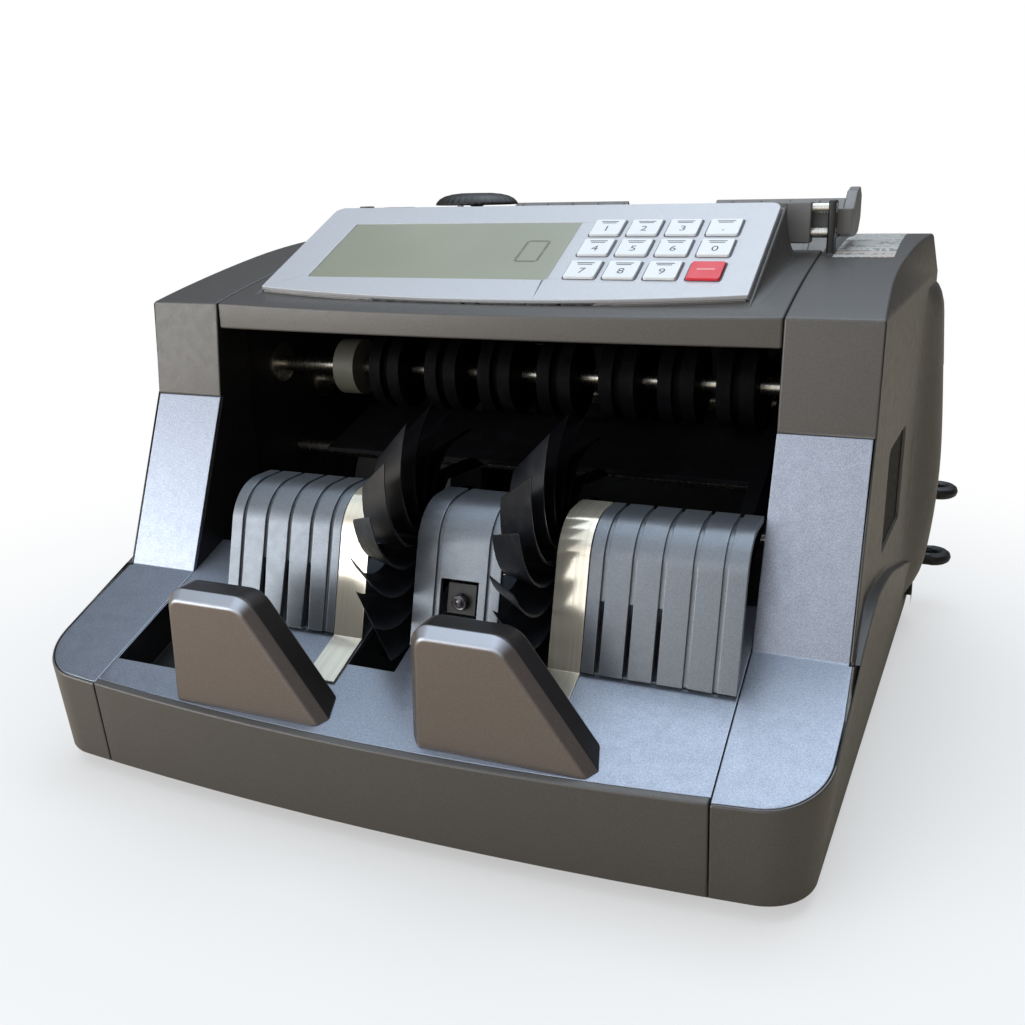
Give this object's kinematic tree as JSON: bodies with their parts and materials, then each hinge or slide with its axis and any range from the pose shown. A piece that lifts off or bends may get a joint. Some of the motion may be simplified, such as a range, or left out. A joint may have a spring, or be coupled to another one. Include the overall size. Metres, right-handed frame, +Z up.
{
  "type": "banknote counting machine",
  "caption": "Desk-top note counter with sloping control panel, rear hopper, feed and pressure rollers, finned stacking wheels and an open front receiving deck.",
  "frame": {"origin": "on the table, on the middle plane of the casing, halfway between the front rim and the back of the tied-up cord: the bottom centre of the bounding box", "axes": "+X right as seen from the front, +Y to the rear, +Z up"},
  "size_m": [0.3198, 0.282, 0.1917],
  "materials": {
    "cover_grey": "dark metallic grey paint, satin",
    "deck_silver": "silver blue metallic paint, fine grain",
    "panel_silver": "pale silver blue satin paint",
    "display_glass": "clear window over a grey-green display",
    "circuit_board": "green solder mask",
    "key_white": "white satin",
    "key_red": "red satin",
    "stop_bronze": "bronze grey metallic paint",
    "plate_grey": "dark grey moulded plastic, satin",
    "polished_steel": "polished stainless strip",
    "shaft_steel": "ground steel",
    "frame_black": "black powder coat",
    "rubber_black": "black rubber",
    "black_plastic": "black moulded plastic",
    "wheel_cream": "cream moulded plastic",
    "motor_case": "grey zinc",
    "hopper_grey": "grey moulded plastic",
    "guide_grey": "grey moulded plastic"
  },
  "bodies": {
    "casing": {"base_pan": "frame_black", "front_fascia": "cover_grey", "front_deck": "deck_silver", "side_cover_left": "cover_grey", "side_cover_right": "cover_grey", "column_panel_left": "deck_silver", "column_panel_right": "deck_silver", "top_cover": "cover_grey", "panel_plate": "panel_silver", "lcd_window": "display_glass", "display_board": "circuit_board", "stop_plate_left": "stop_bronze", "stop_plate_right": "stop_bronze", "stacker_plate_left": "plate_grey", "stacker_plate_centre": "plate_grey", "stacker_plate_right": "plate_grey", "guide_strip_left": "polished_steel", "guide_strip_right": "polished_steel", "stack_sensor": "black_plastic", "side_frame_left": "frame_black", "side_frame_right": "frame_black", "frame_rods": "shaft_steel", "shaft_bearings": "shaft_steel", "note_chute": "black_plastic", "drive_motor": "motor_case", "drive_belts": "rubber_black", "main_board": "circuit_board", "hopper_tray": "hopper_grey", "rear_cover": "cover_grey", "power_inlet": "black_plastic", "power_cord": "black_plastic", "rubber_feet": "rubber_black", "screws": "shaft_steel"},
    "feed_drive": {"feed_shaft": "shaft_steel", "feed_rollers": "rubber_black"},
    "pickup_drive": {"pickup_shaft": "shaft_steel", "pickup_rollers": "rubber_black"},
    "press_drive": {"press_shaft": "shaft_steel", "press_rollers": "rubber_black", "edge_wheel": "wheel_cream"},
    "stacker_drive": {"stacker_shaft": "shaft_steel", "stacker_wheels": "rubber_black"},
    "motor_rotor": {"motor_pulley": "shaft_steel"},
    "left_guide": {"note_guide_left": "guide_grey"},
    "right_guide": {"note_guide_right": "guide_grey"},
    "knob": {"gap_knob": "black_plastic"},
    "separator": {"separator_block": "rubber_black"},
    "rocker": {"power_switch": "black_plastic"},
    "key_01_body": {"key_01": "key_white"},
    "key_02_body": {"key_02": "key_white"},
    "key_03_body": {"key_03": "key_white"},
    "key_04_body": {"key_04": "key_red"},
    "key_05_body": {"key_05": "key_white"},
    "key_06_body": {"key_06": "key_white"},
    "key_07_body": {"key_07": "key_white"},
    "key_08_body": {"key_08": "key_white"},
    "key_09_body": {"key_09": "key_white"},
    "key_10_body": {"key_10": "key_white"},
    "key_11_body": {"key_11": "key_white"},
    "key_12_body": {"key_12": "key_white"}
  },
  "joints": [
    {"name": "feed_spin", "type": "hinge", "parent": "casing", "child": "feed_drive", "pos_m": [0, 0.0212, 0.11414], "axis": [1, 0, 0], "continuous": true},
    {"name": "pickup_spin", "type": "hinge", "parent": "casing", "child": "pickup_drive", "pos_m": [0, 0.058, 0.146], "axis": [1, 0, 0], "continuous": true},
    {"name": "press_spin", "type": "hinge", "parent": "casing", "child": "press_drive", "pos_m": [0, -0.01, 0.1255], "axis": [1, 0, 0], "continuous": true},
    {"name": "stacker_spin", "type": "hinge", "parent": "casing", "child": "stacker_drive", "pos_m": [0, -0.0765, 0.08], "axis": [1, 0, 0], "continuous": true},
    {"name": "motor_spin", "type": "hinge", "parent": "casing", "child": "motor_rotor", "pos_m": [0, 0.06, 0.06], "axis": [1, 0, 0], "continuous": true},
    {"name": "left_guide_slide", "type": "slide", "parent": "casing", "child": "left_guide", "axis": [1, 0, 0], "range_m": [0, 0.011]},
    {"name": "right_guide_slide", "type": "slide", "parent": "casing", "child": "right_guide", "axis": [1, 0, 0], "range_m": [-0.04, 0]},
    {"name": "knob_turn", "type": "hinge", "parent": "casing", "child": "knob", "pos_m": [-0.0365, 0.037, 0.187], "axis": [0, 0, 1], "range_deg": [-180, 180]},
    {"name": "separator_slide", "type": "slide", "parent": "casing", "child": "separator", "axis": [0, 0, 1], "range_m": [-0.00049, 0.00049]},
    {"name": "rocker_tilt", "type": "hinge", "parent": "casing", "child": "rocker", "pos_m": [0.112, 0.1115, 0.052], "axis": [1, 0, 0], "range_deg": [-16, 0]},
    {"name": "key_01_press", "type": "slide", "parent": "casing", "child": "key_01_body", "axis": [0, -0.4179, 0.9085], "range_m": [-0.0005, 0], "stiffness_N_per_m": 400},
    {"name": "key_02_press", "type": "slide", "parent": "casing", "child": "key_02_body", "axis": [0, -0.4179, 0.9085], "range_m": [-0.0005, 0], "stiffness_N_per_m": 400},
    {"name": "key_03_press", "type": "slide", "parent": "casing", "child": "key_03_body", "axis": [0, -0.4179, 0.9085], "range_m": [-0.0005, 0], "stiffness_N_per_m": 400},
    {"name": "key_04_press", "type": "slide", "parent": "casing", "child": "key_04_body", "axis": [0, -0.4179, 0.9085], "range_m": [-0.0005, 0], "stiffness_N_per_m": 400},
    {"name": "key_05_press", "type": "slide", "parent": "casing", "child": "key_05_body", "axis": [0, -0.4179, 0.9085], "range_m": [-0.0005, 0], "stiffness_N_per_m": 400},
    {"name": "key_06_press", "type": "slide", "parent": "casing", "child": "key_06_body", "axis": [0, -0.4179, 0.9085], "range_m": [-0.0005, 0], "stiffness_N_per_m": 400},
    {"name": "key_07_press", "type": "slide", "parent": "casing", "child": "key_07_body", "axis": [0, -0.4179, 0.9085], "range_m": [-0.0005, 0], "stiffness_N_per_m": 400},
    {"name": "key_08_press", "type": "slide", "parent": "casing", "child": "key_08_body", "axis": [0, -0.4179, 0.9085], "range_m": [-0.0005, 0], "stiffness_N_per_m": 400},
    {"name": "key_09_press", "type": "slide", "parent": "casing", "child": "key_09_body", "axis": [0, -0.4179, 0.9085], "range_m": [-0.0005, 0], "stiffness_N_per_m": 400},
    {"name": "key_10_press", "type": "slide", "parent": "casing", "child": "key_10_body", "axis": [0, -0.4179, 0.9085], "range_m": [-0.0005, 0], "stiffness_N_per_m": 400},
    {"name": "key_11_press", "type": "slide", "parent": "casing", "child": "key_11_body", "axis": [0, -0.4179, 0.9085], "range_m": [-0.0005, 0], "stiffness_N_per_m": 400},
    {"name": "key_12_press", "type": "slide", "parent": "casing", "child": "key_12_body", "axis": [0, -0.4179, 0.9085], "range_m": [-0.0005, 0], "stiffness_N_per_m": 400}
  ],
  "couplings": [
    {"joint": "pickup_spin", "follows": "feed_spin", "ratio": 1},
    {"joint": "press_spin", "follows": "feed_spin", "ratio": -1.2},
    {"joint": "stacker_spin", "follows": "feed_spin", "ratio": 1},
    {"joint": "motor_spin", "follows": "feed_spin", "ratio": 3},
    {"joint": "knob_turn", "follows": "separator_slide", "rad_per_m": 6283.2}
  ]
}
